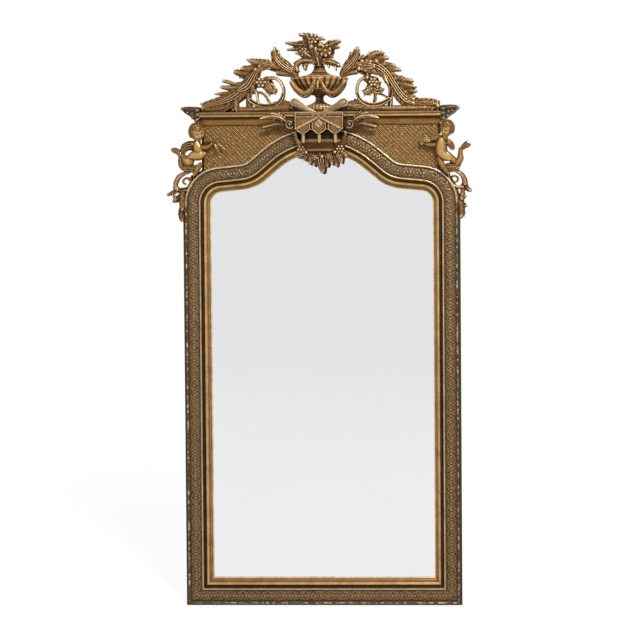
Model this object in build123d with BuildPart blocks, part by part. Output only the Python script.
from build123d import *
from math import cos, radians, sin, sqrt
import os

# A tall gilt floor mirror with an arched glass, a straight cornice and a carved crest.
# Millimetres, +Z up, the front faces -Y, x = 0 is the middle and z = 0 is the floor.
os.makedirs("parts", exist_ok=True)

# Frame and opening
sight_width = 930.0
moulding_width = 115.0
spring_height = 1690.0
corner_radius = 48.0
shoulder_slope = 5.7
shoulder_length = 92.0
hollow_radius = 182.0
crown_slope = 40.0
crown_radius = 272.0

# Depths through the carcass, measured from the carcass face towards the wall
carcass_depth = 55.0
carcass_face = -5.0
glass_setback = 13.0
glass_thickness = 5.0
glass_lap = 14.0
rebate_edge = 16.0
board_setback = 35.0
board_thickness = 8.0
board_ledge = 24.0
board_clearance = 0.5
batten_height = 60.0
batten_steps = (2, 4)
wedge_length = 60.0
wedge_width = 12.0
wedge_depth = 12.0
wedge_rows = 4
wedge_columns = 3

# Mouldings, measured outwards from the edge of the glass and forwards from the carcass face
lip_width = 4.0
lip_height = 4.0
lip_crown = 1.0
ogee_turn = 13.0
ogee_width = 25.0
ogee_height = 12.0
ogee_hollow = 1.0
ogee_hollow_share = 0.75
ogee_swell = 3.0
ogee_swell_share = 0.7
cove_depth = 5.0
bead_inner_start = 38.0
bead_width = 8.0
bead_top = 18.0
bead_shelf = 8.0
band_end = 96.0
band_shelf = 8.0
band_crown = 5.0
outer_bead_width = 7.0
fit_gap = 0.3

# Cornice over the arch
cornice_height = 52.0
cornice_half = 500.0
cornice_cove_height = 24.0
cornice_foot_depth = 15.0
cornice_cove_reach = 33.0
cornice_quirk = 7.0
cornice_bead = 10.0
cornice_bead_reach = 41.0
cornice_top_reach = 38.0
cornice_cove_sag = 3.0
cornice_bevel = 2.0
cup_reach = 45.0
cup_back = 20.0
plinth_rise = 26.0
head_half = cornice_half
spandrel_half = 488.0
spandrel_thickness = 8.0

# Carved cartouche under the urn
block_half = 99.0
block_reach = 65.0
block_drop = 4.0
block_height = 74.0
apron_thickness = 6.0
apron_slit = 8.0
apron_slit_height = 28.0
apron_top_drop = 24.0
lobe_pitch = 66.0
lobe_half = 29.0
lobe_bulge = 11.0
lobe_bulge_share = 0.62
lobe_shoulder_drop = 76.0
lobe_tip_drop = 96.0
drop_radius = 7.0
drop_length = 54.0
drop_setback = 2.0
drop_rounding = 0.7
drum_reach = 49.0
drum_half = 92.0
drum_foot_half = 44.0
drum_height = 66.0
drum_top_drop = 98.0
drum_neck_half = 84.0
drum_neck_reach = 14.0
drum_swell = 6.0
drum_swell_share = 0.62
drum_trim = 1.0
wreath_thickness = 26.0
wreath_gap = 66.0
wreath_gap_middle = 16.5
wreath_gap_height = 14.0
wreath_gap_lap = 2.0
arrow_width = 6.0
rosette_radius = 9.0
rosette_rounding = 3.0
knot_drop = 14.0
knot_spacing = 21.0
knot_height = 12.0
torch_thickness = 16.0
torch_parting = 4.0
volute_radius = 24.0
volute_thickness = 14.0
volute_leaf_thickness = 9.8
volute_gap = 1.0

# Urn and crest
urn_flattening = 0.55
urn_offset = -4.0
urn_rim_height = 143.0
urn_neck_height = 49.0
urn_bowl_height = 70.0
swag_back = 30.0
swag_front = 70.0
clasp_height = 8.0
crest_thickness = 22.0
crest_relief = 7.0
arm_thickness = 30.0
bouquet_thickness = 34.0
bouquet_setback = 5.0
bouquet_stem = 34.0
bracket_width = 20.0
bracket_gauge = 3.0
bracket_rise = 92.0
bracket_foot = 40.0
bracket_places = (-350.0, -298.0, 292.0, 345.0)

# Figures and side scrolls
figure_drop = 326.6
figure_thickness = 34.0
head_radius = 36.0

# Ironwork on the back
screw_radius = 2.0
screw_length = 17.0
screw_head_radius = 4.0
screw_head_height = 2.0
screw_inset = 28.0
screw_rows = 6
crown_screw_turns = (-30, -6, 6, 30)
hanger_drop = 80.0
hanger_inset = 65.0
plate_width = 36.0
plate_length = 78.0
plate_gauge = 3.0
eye_radius = 7.0
eye_length = 30.0
ring_wire = 3.0
ring_bore_gap = 0.4
ring_half = 25.0
ring_drop = 26.0
ring_corner = 8.0

sight_half = sight_width / 2
outer_half = sight_half + moulding_width
sight_sill = moulding_width
back_plane = carcass_face + carcass_depth
glass_face = carcass_face + glass_setback
glass_back = glass_face + glass_thickness
board_face = carcass_face + board_setback
board_back = board_face + board_thickness
board_edge = rebate_edge + board_ledge
hanger_height = spring_height - hanger_drop

# The arch is a chain of tangent lines and arcs: corner, shoulder, hollow, slope and crown
rise_s = radians(shoulder_slope)
rise_t = radians(crown_slope)
corner_centre = (sight_half - corner_radius, spring_height)
shoulder_end = (
    corner_centre[0] + corner_radius * sin(rise_s) - shoulder_length * cos(rise_s),
    corner_centre[1] + corner_radius * cos(rise_s) + shoulder_length * sin(rise_s),
)
hollow_centre = (
    shoulder_end[0] + hollow_radius * sin(rise_s),
    shoulder_end[1] + hollow_radius * cos(rise_s),
)
slope_start = (
    hollow_centre[0] - hollow_radius * sin(rise_t),
    hollow_centre[1] - hollow_radius * cos(rise_t),
)
slope_run = slope_start[0] - crown_radius * sin(rise_t)
slope_end = (
    slope_start[0] - slope_run,
    slope_start[1] + slope_run * sin(rise_t) / cos(rise_t),
)
crown_height = slope_end[1] - crown_radius * cos(rise_t)
apex = crown_height + crown_radius
cornice_foot = apex + moulding_width
cornice_top = cornice_foot + cornice_height
plinth_top = cornice_top + plinth_rise


FORWARD = (0, -1, 0)


def facing(depth, height=0.0, across=0.0):
    """A drawing plane seen from the front: x runs to the right and y runs up."""
    return Plane(origin=(across, depth, height), x_dir=(1, 0, 0), z_dir=(0, -1, 0))


def arch_line(grow):
    """Right half of the arch from its spring to its apex, moved outwards by grow."""
    normal_s = (sin(rise_s), cos(rise_s))
    normal_t = (sin(rise_t), cos(rise_t))
    with BuildLine() as half:
        corner = CenterArc(corner_centre, corner_radius + grow, 0, 90 - shoulder_slope)
        Line(corner @ 1, (shoulder_end[0] + grow * normal_s[0], shoulder_end[1] + grow * normal_s[1]))
        CenterArc(hollow_centre, hollow_radius - grow, 270 - shoulder_slope, shoulder_slope - crown_slope)
        Line(
            (slope_start[0] + grow * normal_t[0], slope_start[1] + grow * normal_t[1]),
            (slope_end[0] + grow * normal_t[0], slope_end[1] + grow * normal_t[1]),
        )
        CenterArc((0, crown_height), crown_radius + grow, 90 - crown_slope, crown_slope)
    return half.line


def opening(grow):
    """The arched opening of the glass, enlarged by grow on every side."""
    side = sight_half + grow
    sill = sight_sill - grow
    with BuildSketch() as area:
        with BuildLine():
            add(arch_line(grow))
            mirror(arch_line(grow), about=Plane.YZ)
            Polyline((side, spring_height), (side, sill), (-side, sill), (-side, spring_height))
        make_face()
    return area.sketch


def petal(stations, side=1):
    """One carved lobe: its line and width at each station, from the root to the tip."""
    middle = [Vector(side * x, z) for x, z, _ in stations]
    widths = [width for _, _, width in stations]
    left = []
    right = []
    for index, point in enumerate(middle):
        before = middle[max(index - 1, 0)]
        after = middle[min(index + 1, len(middle) - 1)]
        along = (after - before).normalized()
        across = Vector(-along.Y, along.X) * (widths[index] / 2)
        left.append(point + across)
        right.append(point - across)
    root = middle[0] - (middle[1] - middle[0]).normalized() * (widths[0] / 2)
    tip = middle[-1] + (middle[-1] - middle[-2]).normalized() * (widths[-1] / 2)
    with BuildSketch() as lobe:
        with BuildLine():
            Spline(left)
            ThreePointArc(left[-1], tip, right[-1])
            Spline(right)
            ThreePointArc(right[0], root, left[0])
        make_face()
    return lobe.sketch


def carving(lobes, side, depth, height, across=0.0):
    """The joined outline of several lobes on a plane that faces forwards."""
    with BuildSketch(facing(depth, height, across)) as outline:
        for lobe in lobes:
            add(petal(lobe, side))
    return outline.sketch


def keep_largest(part):
    """The main body of a cut piece, without loose chips."""
    return max(part.solids(), key=lambda solid: solid.volume)


# Screws through the backboards into the ledge of the carcass, and the heights of the battens
screw_pitch = (spring_height - sight_sill) / screw_rows
side_screws = [
    (side * (sight_half + screw_inset), sight_sill + screw_pitch * (row + 0.5))
    for side in (-1, 1)
    for row in range(screw_rows)
]
sill_screws = [(sight_width / 4 * step, sight_sill - screw_inset) for step in (-1, 0, 1)]
crown_screws = [
    (
        (crown_radius + screw_inset) * sin(radians(turn)),
        crown_height + (crown_radius + screw_inset) * cos(radians(turn)),
    )
    for turn in crown_screw_turns
]
board_screws = side_screws + sill_screws + crown_screws
board_outline = board_edge - board_clearance
batten_levels = [sight_sill + screw_pitch * step for step in batten_steps]


def screw_holes():
    """The shanks of all the board screws, as one part."""
    with BuildPart() as shanks:
        with BuildSketch(facing(board_back)):
            with Locations(board_screws):
                Circle(screw_radius)
        extrude(amount=screw_length)
    return shanks.part


drilling = screw_holes()

# Carcass: two stiles and a rail, rebated for the glass and the backboards
stile_width = moulding_width - rebate_edge

with BuildPart() as left_stile:
    with BuildSketch(Plane.XY):
        with Locations((-outer_half, carcass_face)):
            Rectangle(stile_width, carcass_depth, align=(Align.MIN, Align.MIN))
    extrude(amount=spring_height)
    with BuildSketch(Plane.XY.offset(sight_sill - board_edge)):
        with Locations((-sight_half - rebate_edge, board_face)):
            Rectangle(board_ledge, carcass_depth, align=(Align.MAX, Align.MIN))
    extrude(amount=spring_height, mode=Mode.SUBTRACT)
    add(drilling, mode=Mode.SUBTRACT)

with BuildPart() as right_stile:
    mirror(left_stile.part, about=Plane.YZ)

with BuildPart() as bottom_rail:
    with BuildSketch(Plane.YZ.offset(-sight_half - rebate_edge)):
        with Locations((carcass_face, 0)):
            Rectangle(carcass_depth, stile_width, align=(Align.MIN, Align.MIN))
        with Locations((board_face, stile_width)):
            Rectangle(carcass_depth, board_ledge, align=(Align.MIN, Align.MAX), mode=Mode.SUBTRACT)
    extrude(amount=sight_width + 2 * rebate_edge)
    add(drilling, mode=Mode.SUBTRACT)

with BuildPart() as head_right:
    with BuildSketch(facing(back_plane)):
        add(opening(moulding_width))
        with Locations((0, plinth_top)):
            Rectangle(
                2 * head_half,
                plinth_top - spring_height - corner_radius,
                align=(Align.CENTER, Align.MAX),
            )
        add(opening(rebate_edge), mode=Mode.SUBTRACT)
        with Locations((0, spring_height)):
            Rectangle(
                2 * outer_half,
                plinth_top - spring_height,
                align=(Align.MIN, Align.MIN),
                mode=Mode.INTERSECT,
            )
    extrude(amount=carcass_depth)
    with BuildSketch(facing(back_plane)):
        add(opening(board_edge))
    extrude(amount=back_plane - board_face, mode=Mode.SUBTRACT)
    add(drilling, mode=Mode.SUBTRACT)

with BuildPart() as head_left:
    mirror(head_right.part, about=Plane.YZ)

# Mouldings: each profile is drawn with x outwards from the glass and y forwards from the carcass face


def sight_profile():
    """Lip, ogee, hollow and inner bead in one strip of moulding."""
    bead_end = bead_inner_start + bead_width
    with BuildSketch() as section:
        with BuildLine():
            Line((0, -glass_setback), (0, lip_height - glass_setback))
            ThreePointArc(
                (0, lip_height - glass_setback),
                (lip_width / 2, lip_height + lip_crown - glass_setback),
                (lip_width, lip_height - glass_setback),
            )
            ThreePointArc(
                (lip_width, lip_height - glass_setback),
                (
                    (lip_width + ogee_turn) / 2 + ogee_hollow,
                    (lip_height - glass_setback) * ogee_hollow_share,
                ),
                (ogee_turn, 0),
            )
            ThreePointArc(
                (ogee_turn, 0),
                (ogee_turn + ogee_swell, ogee_height * ogee_swell_share),
                (ogee_width, ogee_height),
            )
            ThreePointArc(
                (ogee_width, ogee_height),
                ((ogee_width + bead_inner_start) / 2, bead_shelf - cove_depth),
                (bead_inner_start, bead_shelf),
            )
            Line((bead_inner_start, bead_shelf), (bead_inner_start, bead_top - bead_width / 2))
            ThreePointArc(
                (bead_inner_start, bead_top - bead_width / 2),
                (bead_inner_start + bead_width / 2, bead_top),
                (bead_end, bead_top - bead_width / 2),
            )
            Polyline(
                (bead_end, bead_top - bead_width / 2),
                (bead_end, 0),
                (rebate_edge, 0),
                (rebate_edge, -glass_setback),
                (0, -glass_setback),
            )
        make_face()
    return section.sketch


def band_profile():
    """Cushioned band of applied ornament with the outer bead along its edge."""
    band_start = bead_inner_start + bead_width
    bead_end = band_end + outer_bead_width
    with BuildSketch() as section:
        with BuildLine():
            Line((band_start, 0), (band_start, band_shelf))
            ThreePointArc(
                (band_start, band_shelf),
                ((band_start + band_end) / 2, band_shelf + band_crown),
                (band_end, band_shelf),
            )
            Line((band_end, band_shelf), (band_end, bead_top - outer_bead_width / 2))
            ThreePointArc(
                (band_end, bead_top - outer_bead_width / 2),
                (band_end + outer_bead_width / 2, bead_top),
                (bead_end, bead_top - outer_bead_width / 2),
            )
            Polyline((bead_end, bead_top - outer_bead_width / 2), (bead_end, 0), (band_start, 0))
        make_face()
    return section.sketch


spring_section = Plane(
    origin=(sight_half, carcass_face, spring_height),
    x_dir=(1, 0, 0),
    z_dir=(0, 0, -1),
)
sill_section = Plane(
    origin=(outer_half, carcass_face, sight_sill),
    x_dir=(0, 0, -1),
    z_dir=(-1, 0, 0),
)


def upright(profile):
    """Right-hand length of a moulding, from its mitre at the sill up to the spring of the arch."""
    with BuildPart() as length:
        with BuildSketch(spring_section):
            add(profile)
        extrude(amount=spring_height)
        split(bisect_by=Plane(origin=(sight_half, 0, sight_sill), z_dir=(1, 0, 1)), keep=Keep.TOP)
    return length.part


def sill(profile):
    """Bottom length of a moulding, mitred at both ends."""
    with BuildPart() as length:
        with BuildSketch(sill_section):
            add(profile)
        extrude(amount=2 * outer_half)
        split(bisect_by=Plane(origin=(sight_half, 0, sight_sill), z_dir=(1, 0, 1)), keep=Keep.BOTTOM)
        split(bisect_by=Plane(origin=(-sight_half, 0, sight_sill), z_dir=(-1, 0, 1)), keep=Keep.BOTTOM)
    return length.part


def arch(profile):
    """Right-hand length of a moulding bent over the arch."""
    path = facing(carcass_face) * arch_line(0)
    with BuildPart() as length:
        with BuildSketch(spring_section):
            add(profile)
        sweep(path=path)
    return length.part


with BuildPart() as sight_right:
    add(upright(sight_profile()))
with BuildPart() as sight_left:
    mirror(sight_right.part, about=Plane.YZ)
with BuildPart() as sight_bottom:
    add(sill(sight_profile()))
with BuildPart() as sight_head_right:
    add(arch(sight_profile()))
with BuildPart() as sight_head_left:
    mirror(sight_head_right.part, about=Plane.YZ)

with BuildPart() as band_right:
    add(upright(band_profile()))
with BuildPart() as band_left:
    mirror(band_right.part, about=Plane.YZ)
with BuildPart() as band_bottom:
    add(sill(band_profile()))
with BuildPart() as band_head_right:
    add(arch(band_profile()))
with BuildPart() as band_head_left:
    mirror(band_head_right.part, about=Plane.YZ)

# Silvered plate and what holds it
with BuildPart() as mirror_glass:
    with BuildSketch(facing(glass_back)):
        add(opening(glass_lap))
    extrude(amount=glass_thickness)

wedge_span = 2 * (sight_half + rebate_edge) - wedge_width
wedge_pitch = spring_height / (wedge_rows + 1)
with BuildPart() as glass_wedges:
    with BuildSketch(facing(glass_back)):
        with Locations((0, (spring_height + sight_sill) / 2)):
            with GridLocations(wedge_span, wedge_pitch, 2, wedge_rows):
                Rectangle(wedge_width, wedge_length)
        with Locations((0, sight_sill - rebate_edge + wedge_width / 2)):
            with GridLocations(sight_width / wedge_columns, wedge_pitch, wedge_columns, 1):
                Rectangle(wedge_length, wedge_width)
    extrude(amount=-wedge_depth)

# Three loose backboards and the two battens over their joints


def backboard(low, high):
    """One board of the back, between two heights, drilled for its screws."""
    with BuildPart() as board:
        with BuildSketch(facing(board_back)):
            add(opening(board_outline))
            with Locations((0, (low + high) / 2)):
                Rectangle(4 * outer_half, high - low, mode=Mode.INTERSECT)
            with Locations([site for site in board_screws if low < site[1] < high]):
                Circle(screw_radius, mode=Mode.SUBTRACT)
        extrude(amount=board_thickness)
    return board.part


board_foot = sight_sill - board_outline
board_head = apex + board_outline
with BuildPart() as backboard_lower:
    add(backboard(board_foot, batten_levels[0]))
with BuildPart() as backboard_middle:
    add(backboard(batten_levels[0], batten_levels[1]))
with BuildPart() as backboard_upper:
    add(backboard(batten_levels[1], board_head))

with BuildPart() as back_battens:
    with BuildSketch(facing(board_back)):
        with Locations([(0, level) for level in batten_levels]):
            Rectangle(2 * (sight_half + board_outline), batten_height)
    extrude(amount=board_back - back_plane)

# Cornice: cove, quirk, bead and top fillet
quirk_level = cornice_cove_height + cornice_quirk
bead_level = quirk_level + cornice_bead
cornice_section = Plane(
    origin=(block_half, carcass_face, cornice_foot),
    x_dir=(0, -1, 0),
    z_dir=(-1, 0, 0),
)
with BuildPart() as cornice_right:
    with BuildSketch(cornice_section):
        with BuildLine():
            Line((0, 0), (cornice_foot_depth, 0))
            ThreePointArc(
                (cornice_foot_depth, 0),
                (
                    (cornice_foot_depth + cornice_cove_reach) / 2 - cornice_cove_sag,
                    cornice_cove_height / 2 + cornice_cove_sag,
                ),
                (cornice_cove_reach, cornice_cove_height),
            )
            Line((cornice_cove_reach, cornice_cove_height), (cornice_cove_reach, quirk_level))
            ThreePointArc(
                (cornice_cove_reach, quirk_level),
                (cornice_bead_reach, (quirk_level + bead_level) / 2),
                (cornice_cove_reach, bead_level),
            )
            Polyline(
                (cornice_cove_reach, bead_level),
                (cornice_top_reach, bead_level + cornice_bevel),
                (cornice_top_reach, cornice_height),
                (0, cornice_height),
                (0, 0),
            )
        make_face()
    extrude(amount=-(cornice_half - block_half))

with BuildPart() as cornice_left:
    mirror(cornice_right.part, about=Plane.YZ)

# Corner cups: leaf-carved returns at the ends of the cornice, outwards from its end
cup_lobes = [
    [(0, 62, 28), (24, 64, 24), (50, 66, 22), (74, 67, 12)],
    [(0, 44, 34), (30, 48, 28), (50, 54, 22), (62, 60, 16)],
    [(0, 24, 26), (14, 28, 22), (32, 42, 22)],
    [(0, 14, 10), (8, 14, 10)],
]


def corner_cup(side):
    """A cup of leaves that wraps the end of the cornice and reaches back past the carcass face."""
    depth = cup_back - carcass_face + cup_reach
    outwards = Align.MIN if side > 0 else Align.MAX
    with BuildPart() as cup:
        extrude(
            carving(cup_lobes, side, cup_back, cornice_foot, side * cornice_half),
            amount=depth,
            dir=FORWARD,
        )
        with BuildSketch(facing(cup_back)):
            with Locations((side * cornice_half, plinth_top)):
                Rectangle(2 * outer_half, plinth_top, align=(outwards, Align.MAX))
        extrude(amount=depth, mode=Mode.INTERSECT)
    return cup.part


with BuildPart() as corner_cup_right:
    add(corner_cup(1))
with BuildPart() as corner_cup_left:
    add(corner_cup(-1))

# Spandrel panels between the arch and the cornice
with BuildPart() as spandrel_right:
    with BuildSketch(facing(carcass_face)):
        with Locations((block_half, cornice_foot)):
            Rectangle(
                spandrel_half - block_half,
                cornice_foot - spring_height,
                align=(Align.MIN, Align.MAX),
            )
        add(opening(band_end + outer_bead_width + fit_gap), mode=Mode.SUBTRACT)
    extrude(amount=spandrel_thickness)

with BuildPart() as spandrel_left:
    mirror(spandrel_right.part, about=Plane.YZ)


# Cartouche: a projecting block with a lobed apron, drops and a ringed drum below it
block_front = carcass_face - block_reach
block_top = cornice_top - block_drop
apron_front = block_front - apron_thickness
with BuildPart() as cartouche_block:
    with BuildSketch(facing(carcass_face)):
        with Locations((0, block_top)):
            Rectangle(2 * block_half, block_height, align=(Align.CENTER, Align.MAX))
    extrude(amount=block_reach)
    with BuildSketch(facing(carcass_face)):
        add(opening(band_end + outer_bead_width + fit_gap))
    extrude(amount=bead_top + fit_gap, mode=Mode.SUBTRACT)

with BuildPart() as apron:
    with BuildSketch(facing(block_front)):
        with Locations((0, cornice_top - apron_top_drop)):
            Rectangle(
                2 * block_half,
                lobe_shoulder_drop - apron_top_drop,
                align=(Align.CENTER, Align.MAX),
            )
        for lobe in (-1, 0, 1):
            middle = lobe * lobe_pitch
            shoulder = cornice_top - lobe_shoulder_drop
            with BuildLine():
                Polyline((middle + lobe_half, shoulder), (middle - lobe_half, shoulder))
                ThreePointArc(
                    (middle - lobe_half, shoulder),
                    (middle - lobe_half * lobe_bulge_share, shoulder - lobe_bulge),
                    (middle, cornice_top - lobe_tip_drop),
                )
                ThreePointArc(
                    (middle, cornice_top - lobe_tip_drop),
                    (middle + lobe_half * lobe_bulge_share, shoulder - lobe_bulge),
                    (middle + lobe_half, shoulder),
                )
            make_face()
        slit_foot = cornice_top - lobe_shoulder_drop - apron_slit
        with Locations([(side * lobe_pitch / 2, slit_foot) for side in (-1, 1)]):
            SlotOverall(
                apron_slit_height + apron_slit,
                apron_slit,
                rotation=90,
                align=(Align.MIN, Align.CENTER),
                mode=Mode.SUBTRACT,
            )
    extrude(amount=apron_thickness)

drop_depth = block_front + drop_radius + drop_setback
with BuildPart() as apron_drops:
    with BuildSketch(Plane.XY.offset(block_top - block_height)):
        with Locations([(lobe * lobe_pitch, drop_depth) for lobe in (-1, 0, 1)]):
            Circle(drop_radius)
    extrude(amount=-drop_length)
    fillet(apron_drops.edges().group_by(Axis.Z)[0], radius=drop_radius * drop_rounding)

drum_back = carcass_face - bead_top - fit_gap
drum_top = cornice_top - drum_top_drop
with BuildPart() as drum:
    with BuildSketch(facing(drum_back)):
        with BuildLine():
            Line((-drum_half, drum_top), (drum_half, drum_top))
            ThreePointArc(
                (drum_half, drum_top),
                ((drum_half + drum_foot_half) / 2 + drum_swell, drum_top - drum_height * drum_swell_share),
                (drum_foot_half, drum_top - drum_height),
            )
            Line((drum_foot_half, drum_top - drum_height), (-drum_foot_half, drum_top - drum_height))
            ThreePointArc(
                (-drum_foot_half, drum_top - drum_height),
                (-(drum_half + drum_foot_half) / 2 - drum_swell, drum_top - drum_height * drum_swell_share),
                (-drum_half, drum_top),
            )
        make_face()
    extrude(amount=drum_reach - (carcass_face - drum_back))
    with BuildSketch(Plane.XY.offset(drum_top)):
        with Locations((0, drum_back)):
            Ellipse(drum_half + drum_trim, drum_reach - (carcass_face - drum_back))
    extrude(amount=-drum_height, mode=Mode.INTERSECT)
    with BuildSketch(facing(drum_back)):
        with Locations((0, drum_top)):
            Rectangle(
                2 * drum_neck_half,
                block_top - block_height - drum_top,
                align=(Align.CENTER, Align.MIN),
            )
    extrude(amount=drum_neck_reach)


def turned(outline, floor):
    """A flattened half-turning on the carcass face, from the radius and height of its corners."""
    with BuildPart() as whole:
        with BuildSketch(Plane.XZ):
            with BuildLine():
                Polyline((0, outline[0][1]), *outline, (0, outline[-1][1]), close=True)
            make_face()
        revolve(axis=Axis.Z)
        split(bisect_by=Plane.XZ, keep=Keep.TOP)
    return Pos(urn_offset, carcass_face, floor) * scale(whole.part, by=(1, urn_flattening, 1))


# Leaves and flowers below the drum; heights here and in the crest are measured from the cornice top
wreath_lobes = [
    [(-60, -166, 40), (-80, -176, 34), (-98, -183, 12)],
    [(-45, -171, 36), (-60, -191, 26), (-68, -197, 10)],
    [(-30, -176, 40), (-38, -199, 30), (-44, -213, 12)],
    [(-15, -181, 36), (-22, -203, 26), (-26, -221, 10)],
    [(0, -181, 44), (4, -206, 40), (6, -231, 26), (9, -247, 18)],
    [(20, -181, 40), (24, -206, 30), (28, -223, 12)],
    [(38, -176, 40), (44, -199, 26), (50, -216, 10)],
    [(55, -171, 40), (62, -196, 30), (67, -223, 10)],
    [(70, -166, 40), (82, -191, 28), (88, -209, 10)],
    [(65, -166, 40), (88, -173, 30), (108, -182, 10)],
    [(-62, -166, 30), (-75, -146, 22), (-92, -126, 16), (-100, -96, 12), (-101, -86, 12)],
    [(70, -166, 30), (85, -146, 24), (98, -126, 18), (105, -100, 12), (105, -86, 12)],
]
with BuildPart() as wreath:
    extrude(carving(wreath_lobes, 1, drum_back, cornice_top), amount=wreath_thickness, dir=FORWARD)
    with BuildSketch(facing(drum_back)):
        with Locations((wreath_gap_middle, drum_top - drum_height + wreath_gap_lap)):
            Rectangle(wreath_gap, wreath_gap_height, align=(Align.CENTER, Align.MAX))
    extrude(amount=wreath_thickness, mode=Mode.SUBTRACT)
    add(drum.part, mode=Mode.SUBTRACT)

# Volutes with leaves on the inner ends of the cornice
volute_back = carcass_face - cornice_bead_reach - fit_gap
volute_out = block_half + volute_radius + volute_gap
volute_lobes = [
    [(140, -40, 26), (165, -22, 30), (195, -18, 26), (222, -22, 16), (245, -30, 10)],
    [(142, -58, 24), (175, -50, 26), (205, -58, 22), (232, -64, 16)],
    [(145, -34, 20), (172, -12, 22), (200, -8, 14)],
]


def volute(side):
    """A round scroll eye beside the cartouche, with leaves that lie over the cornice."""
    with BuildPart() as scroll:
        extrude(
            carving(volute_lobes, side, volute_back, cornice_top),
            amount=volute_leaf_thickness,
            dir=FORWARD,
        )
        with BuildSketch(facing(volute_back)):
            with Locations((side * volute_out, cornice_foot)):
                Circle(volute_radius)
        extrude(amount=volute_thickness)
    return scroll.part


with BuildPart() as volute_right:
    add(volute(1))
with BuildPart() as volute_left:
    add(volute(-1))

# Crossed torches that stand on the block, the knot, and two arrows over the apron
torch_lobes = [[(20, -6, 16), (60, 14, 24), (98, 35, 28)], [(92, 32, 34), (104, 38, 32)]]


def torch(side):
    """One torch, cut level on the block and upright beside its twin."""
    with BuildPart() as piece:
        extrude(carving(torch_lobes, side, volute_back, cornice_top), amount=torch_thickness, dir=FORWARD)
        split(bisect_by=Plane.XY.offset(block_top), keep=Keep.TOP)
        split(bisect_by=Plane.YZ.offset(side * torch_parting), keep=Keep.TOP if side > 0 else Keep.BOTTOM)
    return piece.part


with BuildPart() as torch_right:
    add(torch(1))
with BuildPart() as torch_left:
    add(torch(-1))

knot_level = cornice_top - knot_drop
with BuildPart() as knot_rosettes:
    with BuildSketch(facing(block_front)):
        with Locations([(step * knot_spacing, knot_level) for step in (-1, 0, 1)]):
            Circle(rosette_radius)
    extrude(amount=knot_height)
    fillet(knot_rosettes.edges().group_by(Axis.Y)[0], radius=rosette_rounding)

arrow_lobes = [
    [(9, -30, arrow_width), (46, -50, arrow_width), (82, -69, arrow_width)],
    [(78, -67, 12), (88, -72, 6)],
]
with BuildPart() as arrows:
    for side in (-1, 1):
        extrude(carving(arrow_lobes, side, apron_front, cornice_top), amount=arrow_width, dir=FORWARD)

# Urn: foot and stem, bowl, lidded neck, and the drapery over the bowl
urn_foot_outline = [
    (46, -block_drop),
    (46, 2),
    (57, 12),
    (57, 22),
    (50, 30),
    (34, 36),
    (20, 44),
    (17, 52),
    (17, 64),
    (24, urn_bowl_height),
]
urn_bowl_outline = [
    (24, urn_bowl_height),
    (48, 76),
    (82, 92),
    (106, 114),
    (118, 132),
    (121, 136),
    (121, urn_rim_height),
]
urn_neck_outline = [(86, 0), (74, 7), (52, 12), (34, 21), (26, 33), (22, 43), (26, urn_neck_height)]
foot_turning = turned(urn_foot_outline, cornice_top)
bowl_turning = turned(urn_bowl_outline, cornice_top)
neck_turning = turned(urn_neck_outline, cornice_top + urn_rim_height)
with BuildPart() as urn_foot:
    add(foot_turning)
with BuildPart() as urn_bowl:
    add(bowl_turning)
with BuildPart() as urn_neck:
    add(neck_turning)

swag_lobes = [[(12, 122, 14), (28, 88, 20), (56, 68, 24), (88, 88, 24), (110, 120, 16)]]
clasp_lobes = [[(0, 128, 20), (0, 116, 14), (0, 96, 12)]]
with BuildPart() as urn_swags:
    for side in (-1, 1):
        extrude(
            carving(swag_lobes, side, -swag_back, cornice_top, urn_offset),
            amount=swag_front - swag_back,
            dir=FORWARD,
        )
    extrude(
        carving(clasp_lobes, 1, -swag_back, cornice_top, urn_offset),
        amount=swag_front - swag_back + clasp_height,
        dir=FORWARD,
    )
    add(urn_bowl.part, mode=Mode.SUBTRACT)
    add(urn_foot.part, mode=Mode.SUBTRACT)

# Channelled arms from the urn's rim to the crest, ending in a spike leaf
arm_left_lobes = [
    [(104, 158, 30), (128, 177, 46), (152, 192, 56), (176, 214, 50), (188, 244, 30), (188, 268, 10)],
    [(105, 150, 14), (140, 158, 18), (172, 164, 24)],
]
arm_right_lobes = [
    [(94, 158, 28), (112, 180, 44), (134, 200, 56), (150, 225, 40), (156, 250, 22), (157, 268, 10)],
    [(95, 150, 14), (120, 160, 18), (150, 165, 20)],
    [(128, 226, 22), (133, 240, 14)],
]


def arm(lobes, side):
    """One channelled arm, cut level with the rim of the urn."""
    with BuildPart() as branch:
        extrude(carving(lobes, side, carcass_face, cornice_top), amount=arm_thickness, dir=FORWARD)
        split(bisect_by=Plane.XY.offset(cornice_top + urn_rim_height), keep=Keep.TOP)
    return branch.part


with BuildPart() as arm_left:
    add(arm(arm_left_lobes, -1))
with BuildPart() as arm_right:
    add(arm(arm_right_lobes, 1))

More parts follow.
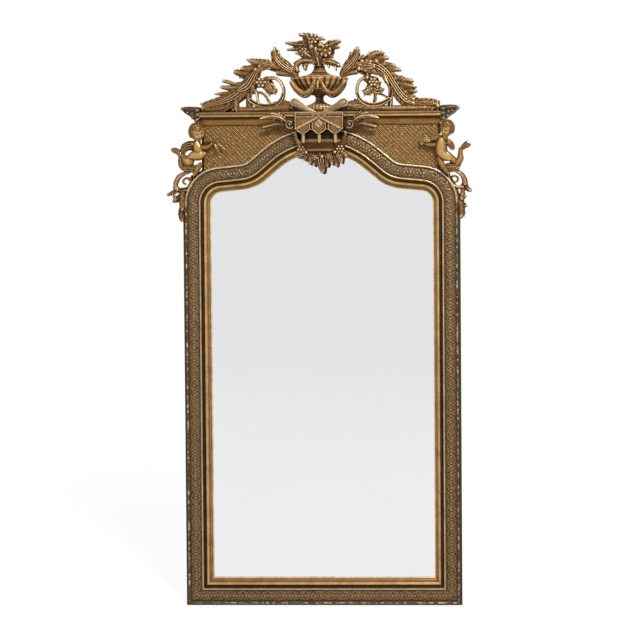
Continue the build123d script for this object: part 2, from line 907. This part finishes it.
# Bouquet on the urn
bouquet_lobes = [
    [(-4, 200, 40), (-8, 219, 52), (-15, 249, 62)],
    [(-15, 232, 60), (-38, 268, 60), (-44, 302, 42), (-52, 316, 24)],
    [(-46, 304, 22), (-68, 320, 16), (-82, 319, 10)],
    [(-20, 280, 40), (-22, 304, 26), (-24, 314, 16)],
    [(-12, 296, 12), (5, 305, 16), (20, 301, 8)],
    [(-50, 274, 40), (-98, 279, 20), (-140, 288, 9)],
    [(-88, 282, 14), (-97, 290, 12)],
    [(-55, 264, 26), (-95, 261, 16), (-134, 259, 8)],
    [(-35, 224, 36), (-60, 242, 44), (-74, 248, 36)],
    [(8, 251, 52), (22, 251, 58), (36, 251, 52)],
    [(20, 262, 40), (50, 280, 26), (84, 292, 12)],
    [(35, 268, 26), (60, 269, 20), (80, 268, 10)],
    [(-15, 204, 22), (-45, 212, 20), (-74, 212, 22), (-96, 198, 24), (-97, 180, 20), (-90, 171, 14)],
    [(-55, 208, 24), (-62, 190, 20), (-60, 178, 12)],
    [(5, 206, 26), (42, 208, 28), (64, 198, 22), (84, 190, 10)],
    [(34, 200, 12), (37, 186, 8)],
    [(58, 195, 12), (66, 180, 10), (68, 172, 6)],
]
with BuildPart() as bouquet:
    extrude(
        carving(bouquet_lobes, 1, carcass_face - bouquet_setback, cornice_top),
        amount=bouquet_thickness,
        dir=FORWARD,
    )
    with BuildSketch(facing(carcass_face)):
        with Locations((urn_offset, cornice_top + urn_rim_height + urn_neck_height)):
            Rectangle(2 * bouquet_stem, urn_neck_height, align=(Align.CENTER, Align.MAX))
    extrude(amount=bouquet_thickness + bouquet_setback, mode=Mode.SUBTRACT)
    add(arm_left.part, mode=Mode.SUBTRACT)
    add(arm_right.part, mode=Mode.SUBTRACT)
    add(urn_neck.part, mode=Mode.SUBTRACT)

# Crest: on each side a pierced carving of acanthus that curls round a ring scroll
crest_left_lobes = [
    [(188, 191, 44), (230, 201, 36), (270, 209, 26), (303, 219, 8)],
    [(262, 209, 14), (276, 220, 10)],
    [(255, 187, 30), (295, 181, 30), (331, 181, 7)],
    [(270, 159, 44), (315, 159, 34), (352, 169, 18)],
    [(225, 194, 30), (262, 174, 36), (285, 139, 60), (300, 109, 70), (330, 94, 60)],
    [(300, 119, 26), (350, 117, 16), (385, 129, 16), (404, 132, 12)],
    [(300, 104, 26), (350, 103, 22), (395, 104, 18), (414, 107, 10)],
    [(320, 79, 36), (370, 77, 24), (410, 79, 16), (440, 79, 6)],
    [(320, 94, 60), (355, 69, 66), (395, 47, 50), (440, 37, 40), (480, 27, 36), (490, 17, 20)],
    [(360, 39, 30), (400, 21, 34), (440, 16, 32), (474, 14, 24)],
    [(350, 79, 30), (352, 49, 26), (350, 14, 26)],
    [(305, 99, 30), (298, 59, 24), (296, 24, 26), (292, 14, 20)],
    [(360, 12, 24), (300, 12, 24), (250, 13, 24), (200, 15, 28), (160, 19, 36), (130, 22, 30), (116, 18, 16)],
    [(238, 124, 30), (215, 141, 18), (190, 143, 14), (168, 129, 14), (154, 104, 13), (152, 79, 13)],
    [(152, 84, 13), (160, 54, 14), (178, 35, 16), (205, 27, 16), (240, 27, 16), (272, 37, 18), (296, 56, 16)],
    [(262, 124, 40), (240, 124, 40), (222, 124, 40)],
    [(228, 124, 44), (212, 104, 46), (200, 89, 30), (186, 87, 14)],
    [(284, 94, 22), (264, 80, 12), (262, 56, 10), (254, 34, 12)],
    [(262, 84, 10), (240, 80, 12), (225, 64, 12), (210, 38, 12)],
    [(215, 14, 20), (185, 29, 34), (155, 37, 26), (130, 35, 20), (114, 29, 10)],
]
crest_right_lobes = [
    [(205, 214, 40), (215, 234, 28), (245, 244, 18), (262, 243, 14)],
    [(215, 214, 50), (250, 222, 28), (280, 222, 14)],
    [(205, 199, 60), (240, 191, 60), (275, 164, 56), (300, 124, 52)]
    + [(325, 84, 56), (355, 49, 56), (385, 34, 40)],
    [(250, 197, 26), (285, 193, 20), (310, 189, 12)],
    [(280, 179, 26), (315, 174, 18), (335, 171, 10)],
    [(310, 139, 36), (350, 129, 20), (382, 127, 16)],
    [(325, 119, 36), (365, 107, 26), (398, 101, 10)],
    [(345, 89, 36), (380, 85, 24), (402, 83, 8)],
    [(360, 62, 40), (385, 50, 32)],
    [(365, 32, 50), (410, 32, 44), (450, 34, 38), (484, 28, 34), (490, 18, 20)],
    [(480, 14, 24), (400, 14, 26), (300, 13, 26), (250, 14, 26), (200, 16, 30), (160, 22, 40), (125, 26, 30)],
    [(292, 129, 18), (296, 89, 20), (290, 54, 18), (285, 19, 20)],
    [(258, 172, 26), (272, 134, 18), (285, 112, 10)],
    [(214, 134, 30), (182, 141, 14), (163, 127, 13), (154, 104, 13), (153, 79, 14)],
    [(153, 84, 14), (163, 54, 14), (182, 36, 16), (210, 27, 16), (240, 29, 16), (268, 39, 16), (290, 52, 16)],
    [(190, 134, 20), (215, 129, 40), (236, 114, 36), (240, 100, 20)],
    [(212, 109, 34), (200, 84, 34), (190, 80, 24)],
    [(215, 94, 16), (228, 74, 14), (228, 49, 14), (222, 32, 14)],
    [(216, 94, 16), (235, 81, 18), (252, 84, 14), (266, 97, 5)],
    [(236, 78, 12), (262, 69, 10), (284, 55, 12)],
    [(160, 189, 56), (188, 190, 74), (214, 187, 60)],
    [(170, 216, 24), (184, 228, 14)],
    [(196, 152, 30), (196, 140, 24)],
    [(215, 14, 20), (185, 29, 34), (155, 37, 30), (130, 34, 22), (114, 27, 10)],
]
crest_left_ridges = [crest_left_lobes[index] for index in (0, 3, 8, 14, 16, 19)]
crest_right_ridges = [crest_right_lobes[index] for index in (0, 2, 9, 14, 20, 23)]


def crest(lobes, ridges, side, neighbour):
    """A pierced carving that stands on the cornice, with its main stems raised."""
    with BuildPart() as pierced:
        extrude(
            carving(lobes, side, carcass_face, cornice_top),
            amount=crest_thickness,
            dir=FORWARD,
        )
        extrude(
            carving(ridges, side, carcass_face, cornice_top),
            amount=crest_thickness + crest_relief,
            dir=FORWARD,
        )
        split(bisect_by=Plane.XY.offset(cornice_top), keep=Keep.TOP)
        add(neighbour, mode=Mode.SUBTRACT)
    return keep_largest(pierced.part)


with BuildPart() as crest_left:
    add(crest(crest_left_lobes, crest_left_ridges, -1, arm_left.part))
with BuildPart() as crest_right:
    add(crest(crest_right_lobes, crest_right_ridges, 1, arm_right.part))

# Winged children under the cornice, measured from the edge of the glass and from below the cornice
figure_base = cornice_foot - figure_drop
figure_back = drum_back
figure_left_lobes = [
    [(105, 225, 30), (90, 240, 34), (65, 240, 40), (45, 235, 30)],
    [(60, 245, 24), (35, 232, 24), (10, 230, 20), (-10, 242, 14)],
    [(85, 188, 24), (55, 200, 46), (33, 202, 44), (21, 205, 30)],
    [(45, 240, 40), (42, 222, 44), (38, 205, 44)],
    [(145, 222, 24), (125, 215, 22), (113, 198, 20), (116, 170, 22), (115, 148, 14)],
    [(105, 195, 22), (93, 178, 44), (80, 170, 40), (70, 182, 24)],
    [(105, 206, 16), (107, 220, 20)],
    [(105, 145, 24), (75, 142, 30), (50, 148, 26)],
    [(33, 165, 18), (43, 150, 22), (53, 132, 20), (60, 120, 16)],
    [(34, 300, 40), (22, 275, 46), (24, 252, 40)],
    [(-6, 268, 8), (-24, 244, 7), (-43, 215, 6)],
    [(14, 262, 10), (-30, 255, 8), (-48, 240, 7), (-66, 223, 6)],
]
figure_right_lobes = [
    [(47, 250, 26), (69, 248, 26), (82, 228, 24), (85, 218, 14)],
    [(47, 240, 26), (17, 235, 20), (-8, 235, 18), (-25, 238, 14)],
    [(-21, 255, 26), (-36, 260, 30), (-43, 245, 20)],
    [(37, 245, 46), (35, 210, 54), (47, 192, 44), (65, 182, 34)],
    [(57, 200, 30), (79, 178, 30), (102, 163, 22), (115, 153, 14)],
    [(117, 222, 16), (115, 200, 20), (117, 180, 28), (107, 165, 30)],
    [(117, 218, 18), (133, 230, 20), (149, 234, 18), (158, 238, 8)],
    [(120, 226, 10), (132, 240, 9), (143, 250, 7)],
    [(29, 178, 22), (37, 158, 24), (52, 135, 22), (64, 120, 16)],
    [(52, 145, 24), (77, 148, 30), (105, 142, 22)],
    [(25, 272, 30), (5, 262, 20)],
]
figure_left_head = (63, 298)
figure_right_head = (44, 305)


def figure(lobes, side, head, cup):
    """A flat-backed relief figure with a round head, fitted under the corner cup."""
    across = side * (sight_half + head[0])
    with BuildPart() as child:
        extrude(
            carving(lobes, side, figure_back, figure_base, side * sight_half),
            amount=figure_thickness,
            dir=FORWARD,
        )
        with Locations((across, figure_back - head_radius / 2, figure_base + head[1])):
            Sphere(head_radius)
        split(bisect_by=Plane.XZ.offset(-figure_back), keep=Keep.TOP)
        add(cup, mode=Mode.SUBTRACT)
    return keep_largest(child.part)


with BuildPart() as figure_left:
    add(figure(figure_left_lobes, -1, figure_left_head, corner_cup_left.part))
with BuildPart() as figure_right:
    add(figure(figure_right_lobes, 1, figure_right_head, corner_cup_right.part))

# Side scrolls with leaf tips and a bud, from the spring of the arch and the outer edge of the frame
scroll_left_lobes = [
    [(-27, 132, 14), (-5, 124, 16), (16, 110, 20), (26, 90, 20), (29, 72, 20), (21, 58, 20)],
    [(-42, 112, 16), (-40, 85, 14), (-29, 67, 14), (-11, 60, 16), (11, 58, 18)],
    [(-36, 96, 14), (-19, 107, 9), (-5, 99, 9), (-3, 88, 9), (-11, 82, 10)],
    [(18, 58, 22), (37, 48, 18), (53, 40, 14), (66, 36, 6)],
    [(33, 50, 12), (37, 32, 12), (29, 18, 14)],
    [(3, 32, 30), (23, 18, 22), (40, 8, 8)],
    [(5, 55, 26), (3, 25, 26), (1, 0, 28), (1, -25, 22)],
    [(3, -18, 22), (7, -40, 26), (4, -60, 22), (0, -72, 10)],
]
scroll_right_lobes = [
    [(-50, 128, 14), (-23, 131, 14), (2, 118, 18), (16, 98, 22), (20, 75, 24)],
    [(19, 85, 24), (24, 60, 24), (35, 51, 16), (47, 45, 6)],
    [(-50, 115, 18), (-45, 90, 16), (-32, 70, 16), (-13, 62, 14), (9, 62, 20)],
    [(-42, 94, 14), (-32, 107, 9), (-18, 107, 9), (-9, 98, 9), (-11, 87, 9), (-19, 84, 9)],
    [(10, 65, 20), (10, 40, 20), (6, 15, 26)],
    [(-18, 60, 16), (-19, 40, 14), (-13, 18, 20)],
    [(2, 22, 20), (14, 24, 14), (23, 23, 8)],
    [(0, -5, 30), (14, -15, 16), (27, -16, 7)],
    [(-4, 20, 30), (2, -10, 28), (6, -35, 28), (6, -50, 24), (2, -62, 16)],
]


def side_scroll(lobes, side):
    """A scroll with leaf tips on the outer edge of the frame, fitted round the outer bead."""
    with BuildPart() as scroll:
        extrude(
            carving(lobes, side, carcass_face, spring_height, side * outer_half),
            amount=carcass_face - figure_back,
            dir=FORWARD,
        )
        with BuildSketch(facing(carcass_face)):
            add(opening(band_end + outer_bead_width + fit_gap))
        extrude(amount=carcass_face - figure_back, mode=Mode.SUBTRACT)
    return keep_largest(scroll.part)


with BuildPart() as side_scroll_left:
    add(side_scroll(scroll_left_lobes, -1))
with BuildPart() as side_scroll_right:
    add(side_scroll(scroll_right_lobes, 1))

# Angle brackets that hold the crest to the top of the carcass
with BuildPart() as crest_brackets:
    with BuildSketch(Plane.YZ.offset(-bracket_width / 2)):
        with BuildLine():
            Polyline(
                (carcass_face, plinth_top),
                (carcass_face, plinth_top + bracket_rise),
                (carcass_face + bracket_gauge, plinth_top + bracket_rise),
                (carcass_face + bracket_gauge, plinth_top + bracket_gauge),
                (carcass_face + bracket_foot, plinth_top + bracket_gauge),
                (carcass_face + bracket_foot, plinth_top),
                close=True,
            )
        make_face()
    extrude(amount=bracket_width)

bracket_copies = [Pos(place, 0, 0) * crest_brackets.part for place in bracket_places]
with BuildPart() as crest_brackets:
    add(bracket_copies)

# Wood screws: round heads on the backboards, shanks through into the carcass
with BuildPart() as wood_screws:
    with BuildSketch(facing(board_back)):
        with Locations(board_screws):
            Circle(screw_radius)
    extrude(amount=screw_length)
    with BuildSketch(facing(board_back)):
        with Locations(board_screws):
            Circle(screw_head_radius)
    extrude(amount=-screw_head_height)

# Hanging plates with a rolled eye, and the rings that swing in them
hanger_out = sight_half + hanger_inset
eye_depth = back_plane + eye_radius


def hanger_plate(side):
    """A flat plate with an eye rolled along its lower edge."""
    with BuildPart() as plate:
        with BuildSketch(facing(back_plane)):
            with Locations((side * hanger_out, hanger_height)):
                Rectangle(plate_width, plate_length, align=(Align.CENTER, Align.MIN))
        extrude(amount=-plate_gauge)
        with BuildSketch(Plane.YZ.offset(side * hanger_out - eye_length / 2)):
            with Locations((eye_depth, hanger_height)):
                Circle(eye_radius)
        extrude(amount=eye_length)
        with BuildSketch(Plane.YZ.offset(side * hanger_out - eye_length / 2)):
            with Locations((eye_depth, hanger_height)):
                Circle(ring_wire + ring_bore_gap)
        extrude(amount=eye_length, mode=Mode.SUBTRACT)
    return plate.part


with BuildPart() as hanger_plates:
    add(hanger_plate(-1))
    add(hanger_plate(1))


def ring(side):
    """A D-shaped ring: a straight bar through the eye and a bow below it."""
    middle = side * hanger_out
    plane = Plane(origin=(middle, eye_depth, hanger_height), x_dir=(1, 0, 0), z_dir=(0, -1, 0))
    corner_sag = ring_corner * (1 - sqrt(0.5))
    with BuildPart() as loop:
        with BuildLine(plane) as path:
            Line((0, 0), (ring_half - ring_corner, 0))
            ThreePointArc(
                (ring_half - ring_corner, 0),
                (ring_half - corner_sag, -corner_sag),
                (ring_half, -ring_corner),
            )
            Line((ring_half, -ring_corner), (ring_half, -ring_drop))
            ThreePointArc((ring_half, -ring_drop), (0, -ring_drop - ring_half), (-ring_half, -ring_drop))
            Line((-ring_half, -ring_drop), (-ring_half, -ring_corner))
            ThreePointArc(
                (-ring_half, -ring_corner),
                (-ring_half + corner_sag, -corner_sag),
                (-ring_half + ring_corner, 0),
            )
            Line((-ring_half + ring_corner, 0), (0, 0))
        with BuildSketch(Plane.YZ.offset(middle)):
            with Locations((eye_depth, hanger_height)):
                Circle(ring_wire)
        sweep(path=path.wires()[0])
    return loop.part


with BuildPart() as ring_left:
    add(ring(-1))
with BuildPart() as ring_right:
    add(ring(1))

pieces = {
    "left_stile": left_stile,
    "right_stile": right_stile,
    "bottom_rail": bottom_rail,
    "head_left": head_left,
    "head_right": head_right,
    "sight_left": sight_left,
    "sight_right": sight_right,
    "sight_bottom": sight_bottom,
    "sight_head_left": sight_head_left,
    "sight_head_right": sight_head_right,
    "band_left": band_left,
    "band_right": band_right,
    "band_bottom": band_bottom,
    "band_head_left": band_head_left,
    "band_head_right": band_head_right,
    "mirror_glass": mirror_glass,
    "glass_wedges": glass_wedges,
    "backboard_lower": backboard_lower,
    "backboard_middle": backboard_middle,
    "backboard_upper": backboard_upper,
    "back_battens": back_battens,
    "wood_screws": wood_screws,
    "cornice_left": cornice_left,
    "cornice_right": cornice_right,
    "corner_cup_left": corner_cup_left,
    "corner_cup_right": corner_cup_right,
    "spandrel_left": spandrel_left,
    "spandrel_right": spandrel_right,
    "cartouche_block": cartouche_block,
    "apron": apron,
    "apron_drops": apron_drops,
    "drum": drum,
    "wreath": wreath,
    "volute_left": volute_left,
    "volute_right": volute_right,
    "torch_left": torch_left,
    "torch_right": torch_right,
    "knot_rosettes": knot_rosettes,
    "arrows": arrows,
    "urn_foot": urn_foot,
    "urn_bowl": urn_bowl,
    "urn_neck": urn_neck,
    "urn_swags": urn_swags,
    "arm_left": arm_left,
    "arm_right": arm_right,
    "bouquet": bouquet,
    "crest_left": crest_left,
    "crest_right": crest_right,
    "figure_left": figure_left,
    "figure_right": figure_right,
    "side_scroll_left": side_scroll_left,
    "side_scroll_right": side_scroll_right,
    "crest_brackets": crest_brackets,
    "hanger_plates": hanger_plates,
    "ring_left": ring_left,
    "ring_right": ring_right,
}
for name, piece in pieces.items():
    piece.part.label = name
    export_step(piece.part, f"parts/{name}.step")
